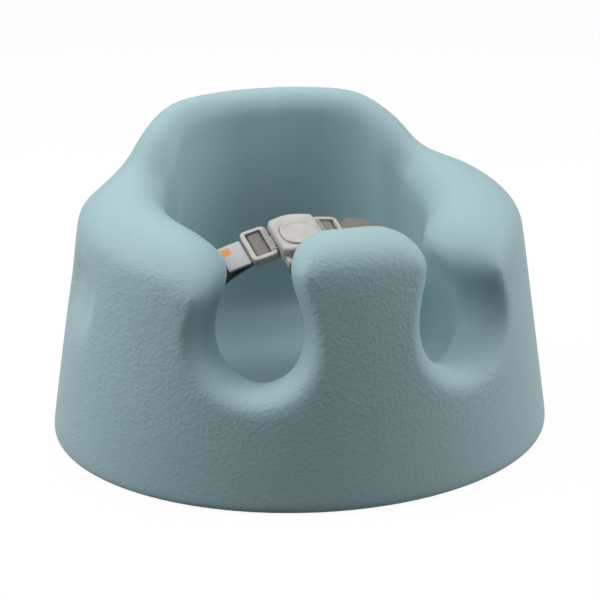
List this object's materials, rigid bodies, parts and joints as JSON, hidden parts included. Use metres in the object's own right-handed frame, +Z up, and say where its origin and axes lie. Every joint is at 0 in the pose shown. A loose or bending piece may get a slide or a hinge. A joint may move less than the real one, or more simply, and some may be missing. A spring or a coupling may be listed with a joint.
{
  "type": "baby floor seat",
  "caption": "Moulded foam floor seat for a baby, with a high round back, front pommel, keyhole leg openings and a lap harness closed by a push-button buckle.",
  "frame": {"origin": "middle of the base, on the floor", "axes": "+Z up, -Y towards the front, where the pommel and the leg openings are, +X to the right as seen from the front"},
  "size_m": [0.3784, 0.3484, 0.2335],
  "materials": {
    "foam": "matte",
    "webbing": "matte",
    "plastic": "satin",
    "anchor_plastic": "matte",
    "spring_steel": "satin",
    "tag_cloth": "matte"
  },
  "bodies": {
    "seat": {"seat_body": "foam", "left_anchor_plate": "anchor_plastic", "right_anchor_plate": "anchor_plastic", "crotch_anchor_plate": "anchor_plastic", "left_lap_strap": "webbing", "right_lap_strap": "webbing", "crotch_strap": "webbing", "buckle_base": "plastic", "buckle_cover": "plastic", "button_spring": "spring_steel"},
    "left_tongue": {"left_tongue": "plastic", "left_latch_arms": "plastic", "strap_tag": "tag_cloth"},
    "right_tongue": {"right_tongue": "plastic", "right_latch_arms": "plastic"},
    "button": {"release_button": "plastic"}
  },
  "joints": [
    {"name": "left_tongue_slide", "type": "slide", "parent": "seat", "child": "left_tongue", "axis": [-0.9957, -0.0696, -0.0611], "range_m": [0, 0.012], "deforming": ["left_lap_strap", "left_latch_arms"]},
    {"name": "right_tongue_slide", "type": "slide", "parent": "seat", "child": "right_tongue", "axis": [0.9957, 0.0696, 0.0611], "range_m": [0, 0.012], "deforming": ["right_lap_strap", "right_latch_arms"]},
    {"name": "button_press", "type": "slide", "parent": "seat", "child": "button", "axis": [0.0334, 0.3452, -0.9379], "range_m": [0, 0.003], "stiffness_N_per_m": 1200, "springref_m": -0.002, "deforming": ["button_spring"]}
  ]
}
